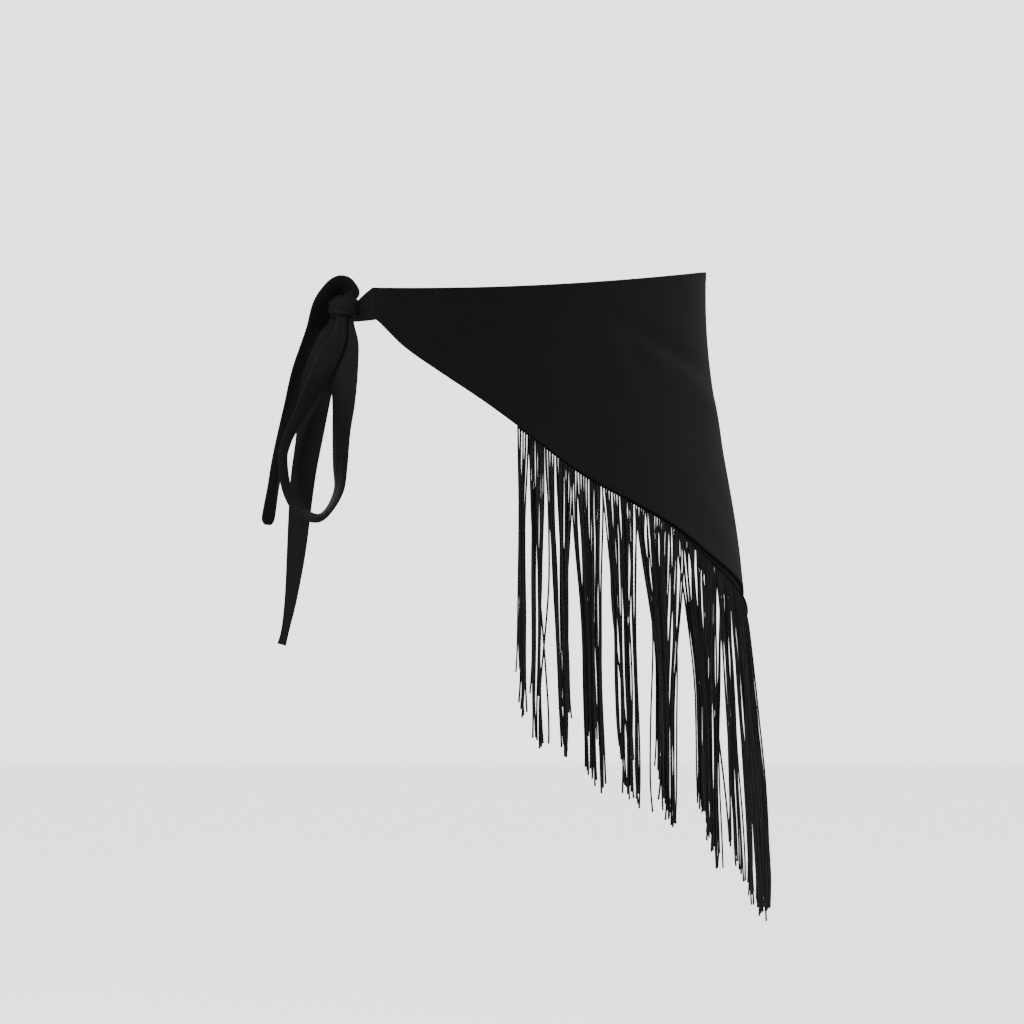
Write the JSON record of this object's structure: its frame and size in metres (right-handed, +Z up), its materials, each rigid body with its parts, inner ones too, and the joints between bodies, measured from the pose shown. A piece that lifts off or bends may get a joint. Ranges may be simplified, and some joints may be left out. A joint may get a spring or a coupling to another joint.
{
  "type": "fringe belt worn as a hip wrap",
  "caption": "Wrap belt with a triangular cloth panel, a long cord fringe on its slanting lower edge, and a bow tied at the side.",
  "frame": {"origin": "middle of the waist opening, level with the top of the cloth at the wearer's left side", "axes": "+Z up, the wearer faces -Y, +X towards the wearer's left side, where the panel is longest"},
  "size_m": [0.3768, 0.2767, 0.4713],
  "materials": {
    "belt_cloth": "matt woven cloth",
    "band_cloth": "soft cloth with a low sheen",
    "fringe_cord": "twisted cord with a low gloss"
  },
  "bodies": {
    "root": {"panel": "belt_cloth", "tie_front": "band_cloth", "tie_back": "band_cloth", "knot": "band_cloth", "bow_loop": "band_cloth", "tail_short": "band_cloth", "tail_long": "band_cloth", "fringe_front": "fringe_cord", "fringe_back": "fringe_cord"}
  },
  "joints": []
}
